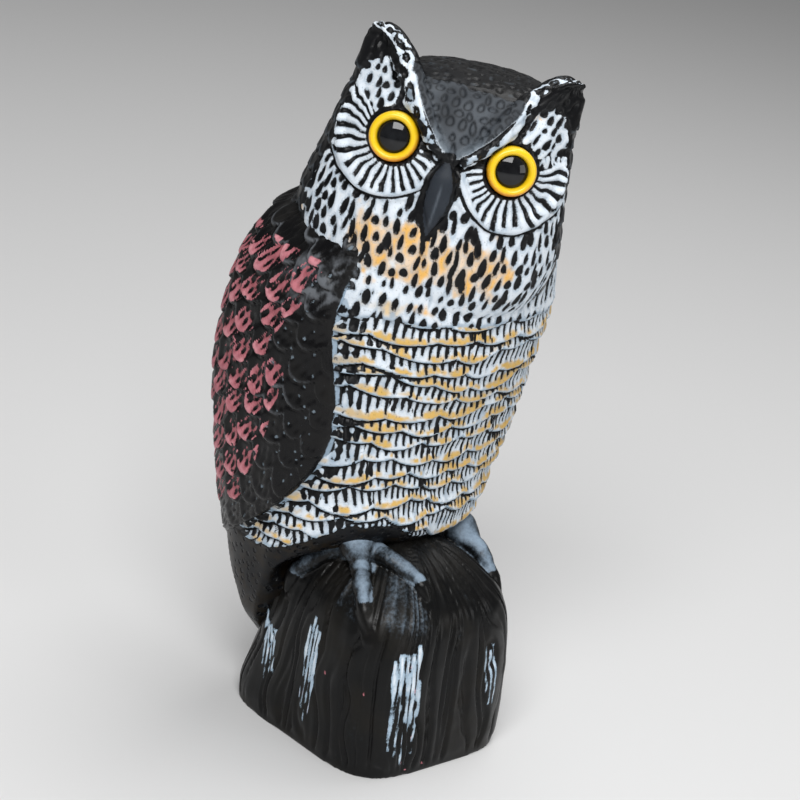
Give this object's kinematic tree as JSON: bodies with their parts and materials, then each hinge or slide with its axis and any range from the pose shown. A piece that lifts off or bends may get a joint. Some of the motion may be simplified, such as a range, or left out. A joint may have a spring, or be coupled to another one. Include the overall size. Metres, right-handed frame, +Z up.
{
  "type": "owl decoy",
  "caption": "Hollow moulded plastic owl decoy perched on a square tree stump, with its head turned, ear tufts, folded wings and glossy yellow-ringed eyes, used to scare birds.",
  "frame": {"origin": "middle of the stump's flat underside", "axes": "+Z up, -Y the way the breast and the feet face, +X towards the owl's left side; the head is turned 45 degrees to the owl's right, towards -X"},
  "size_m": [0.1833, 0.1743, 0.4063],
  "materials": {
    "body_plastic": "satin black polyethylene, sprayed and dry-brushed with white, ochre, grey and pink paint",
    "eye_ring_plastic": "glossy yellow with an orange edge",
    "pupil_plastic": "polished black"
  },
  "bodies": {
    "root": {"owl_body": "body_plastic", "eye_ring_right": "eye_ring_plastic", "eye_ring_left": "eye_ring_plastic", "pupil_right": "pupil_plastic", "pupil_left": "pupil_plastic"}
  },
  "joints": []
}
